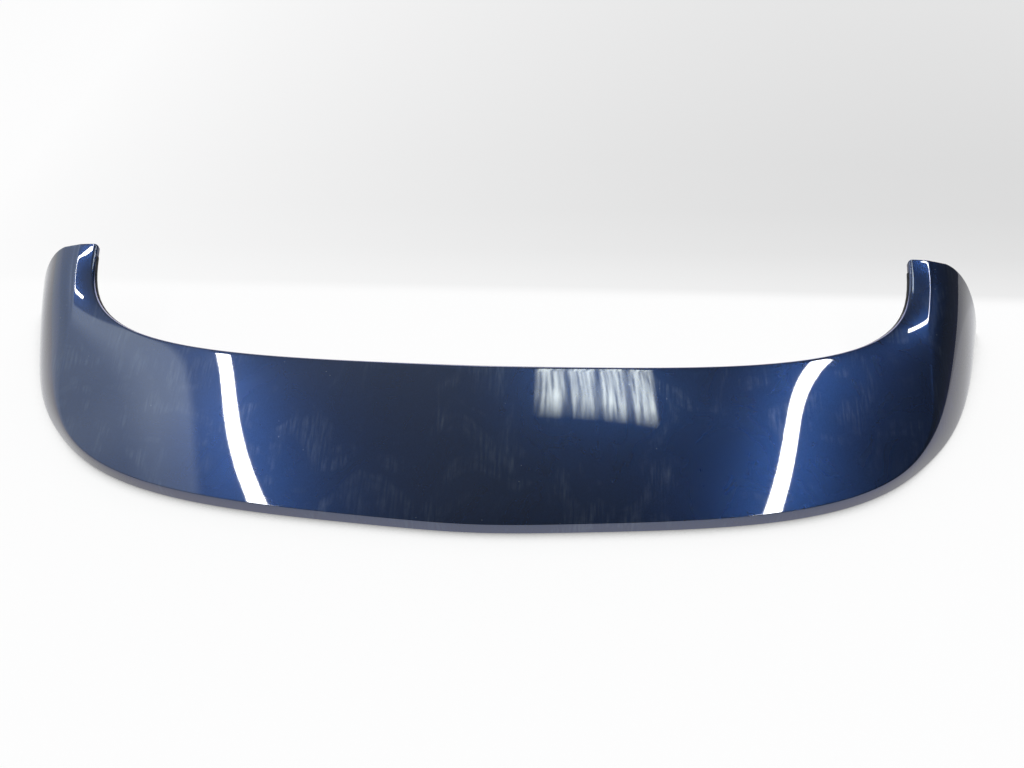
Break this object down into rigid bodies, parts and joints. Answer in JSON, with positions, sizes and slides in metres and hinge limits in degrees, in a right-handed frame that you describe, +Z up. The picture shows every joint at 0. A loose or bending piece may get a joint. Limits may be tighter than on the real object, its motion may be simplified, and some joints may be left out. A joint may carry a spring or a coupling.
{
  "type": "tailgate spoiler",
  "caption": "Wrap-round tailgate spoiler: a painted, curved blade with two forward arms and flared cheeks, over a ribbed inner panel with studs and guide pins.",
  "frame": {"origin": "under the middle of the trailing edge, on the plane that the rim rests on", "axes": "+X to the right across the car, +Y forward from the trailing edge to the arm tips, +Z up"},
  "size_m": [1.2, 0.319, 0.112],
  "materials": {
    "paint": "metallic dark blue paint under a glossy clear coat, on moulded plastic",
    "black_plastic": "fine-grained moulded black plastic",
    "zinc_steel": "zinc-plated steel",
    "foam": "matt closed-cell foam",
    "seal_rubber": "matt black soft strip"
  },
  "bodies": {
    "root": {"outer_skin": "paint", "inner_panel": "black_plastic", "mounting_studs": "zinc_steel", "stud_seals": "foam", "front_seal": "seal_rubber"}
  },
  "joints": []
}
